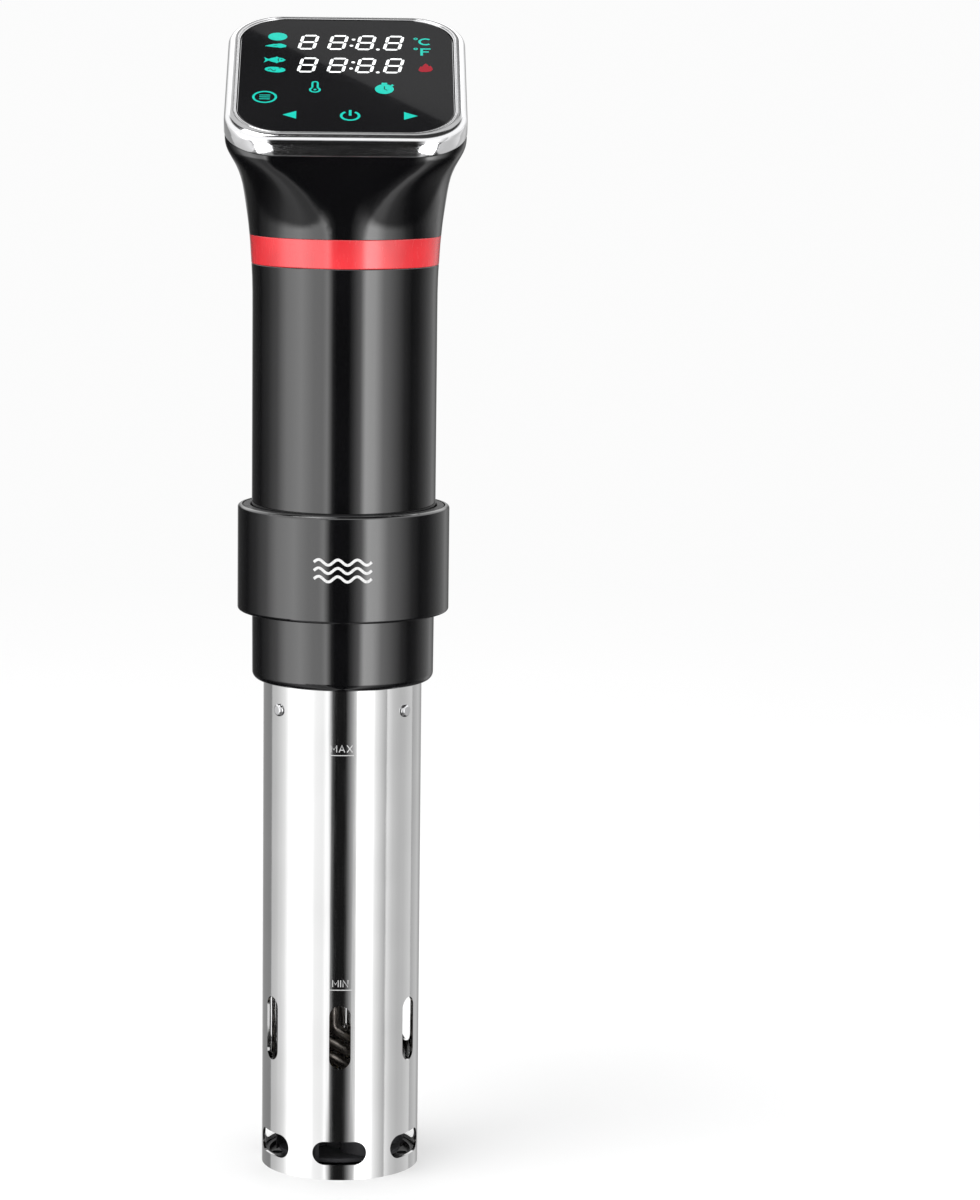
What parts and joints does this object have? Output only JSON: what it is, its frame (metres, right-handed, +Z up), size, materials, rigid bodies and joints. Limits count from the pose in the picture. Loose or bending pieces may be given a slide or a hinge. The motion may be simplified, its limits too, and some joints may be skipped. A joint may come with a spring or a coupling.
{
  "type": "sous vide circulator",
  "caption": "Stick-shaped water-bath heater and pump with a slotted steel sleeve, a black handle, a tilted touch display and a sliding screw clamp for a pot's wall.",
  "frame": {"origin": "centre of the bottom cap's underside, on the pump's axis", "axes": "+Z up along the pump's axis, -Y towards the side the display faces, +Y towards the clamp's screw, +X to the right of someone facing the display"},
  "size_m": [0.0744, 0.1304, 0.364],
  "materials": {
    "stainless": "fine brushed",
    "heater_steel": "satin, heat tinted",
    "shaft_steel": "ground",
    "screw_steel": "bright",
    "chrome": "polished",
    "gloss_black": "high gloss",
    "gloss_red": "high gloss",
    "panel_glass": "black-backed, high gloss",
    "black_satin": "satin",
    "black_rubber": "matte",
    "seal_rubber": "silicone, matte",
    "brass": "turned",
    "aluminium": "satin",
    "circuit_board": "solder mask",
    "display_white": "milky lens",
    "spring_copper": "spring wire",
    "impeller_plastic": "glass-filled nylon",
    "armature": "laminated, varnished",
    "motor_zinc": "zinc plate",
    "ferrite": "sintered ferrite",
    "carrier_plastic": "natural nylon",
    "transformer_tape": "yellow tape",
    "relay_blue": "gloss",
    "terminal_green": "satin",
    "capacitor_blue": "sleeved",
    "lead_insulation": "silicone"
  },
  "bodies": {
    "unit": {"steel_sleeve": "stainless", "sleeve_screws": "screw_steel", "bottom_cap": "black_satin", "handle_tube": "gloss_black", "red_band": "gloss_red", "neck_shell": "gloss_black", "cord_gland": "black_rubber", "chrome_bezel": "chrome", "panel_glass": "panel_glass", "panel_gasket": "black_rubber", "display_board": "circuit_board", "display_board_screws": "screw_steel", "led_digit_modules": "display_white", "touch_key_springs": "spring_copper", "indicator_leds": "display_white", "buzzer": "black_satin", "heater_coil": "heater_steel", "heater_base": "black_satin", "handle_seal_ring": "seal_rubber", "sleeve_seal_ring": "seal_rubber", "base_retaining_ring": "screw_steel", "shaft_seal": "black_rubber", "upper_shaft_bush": "brass", "lower_shaft_bush": "brass", "temperature_probe": "stainless", "water_level_probes": "stainless", "stay_rods": "stainless", "stay_nuts": "screw_steel", "shaft_support_spider": "stainless", "heater_terminals": "brass", "motor_can": "motor_zinc", "motor_magnets": "ferrite", "motor_bearings": "brass", "motor_end_bell": "black_satin", "motor_plate": "aluminium", "motor_standoffs": "brass", "motor_plate_screws": "screw_steel", "motor_screws": "screw_steel", "board_carrier": "carrier_plastic", "power_board": "circuit_board", "transformer": "transformer_tape", "heater_relay": "relay_blue", "terminal_block": "terminal_green", "capacitors": "capacitor_blue", "triac_heatsink": "aluminium", "heater_leads": "lead_insulation"},
    "pump_rotor": {"drive_shaft": "shaft_steel", "impeller": "impeller_plastic", "shaft_coupling": "aluminium", "coupling_grub_screws": "screw_steel", "motor_armature": "armature"},
    "collar_liner": {"clamp_liner": "black_satin"},
    "clamp_bracket": {"clamp_collar": "gloss_black", "clamp_nut": "brass", "jaw_pad": "black_rubber"},
    "pressure_pad": {"clamp_pad": "black_satin"},
    "thumb_screw": {"clamp_screw": "screw_steel", "clamp_knob": "gloss_black"}
  },
  "joints": [
    {"name": "pump_spin", "type": "hinge", "parent": "unit", "child": "pump_rotor", "pos_m": [0, 0, 0.1], "axis": [0, 0, 1], "continuous": true},
    {"name": "collar_slide", "type": "slide", "parent": "unit", "child": "collar_liner", "axis": [0, 0, 1], "range_m": [-0.018, 0.062]},
    {"name": "collar_turn", "type": "hinge", "parent": "collar_liner", "child": "clamp_bracket", "pos_m": [0, 0, 0.1945], "axis": [0, 0, 1], "continuous": true},
    {"name": "pad_slide", "type": "slide", "parent": "clamp_bracket", "child": "pressure_pad", "axis": [0, -1, 0], "range_m": [0, 0.0135]},
    {"name": "screw_turn", "type": "hinge", "parent": "pressure_pad", "child": "thumb_screw", "pos_m": [0, 0.056, 0.184], "axis": [0, -1, 0], "range_deg": [0, 1620]}
  ],
  "couplings": [
    {"joint": "screw_turn", "follows": "pad_slide", "rad_per_m": 2094.4}
  ]
}
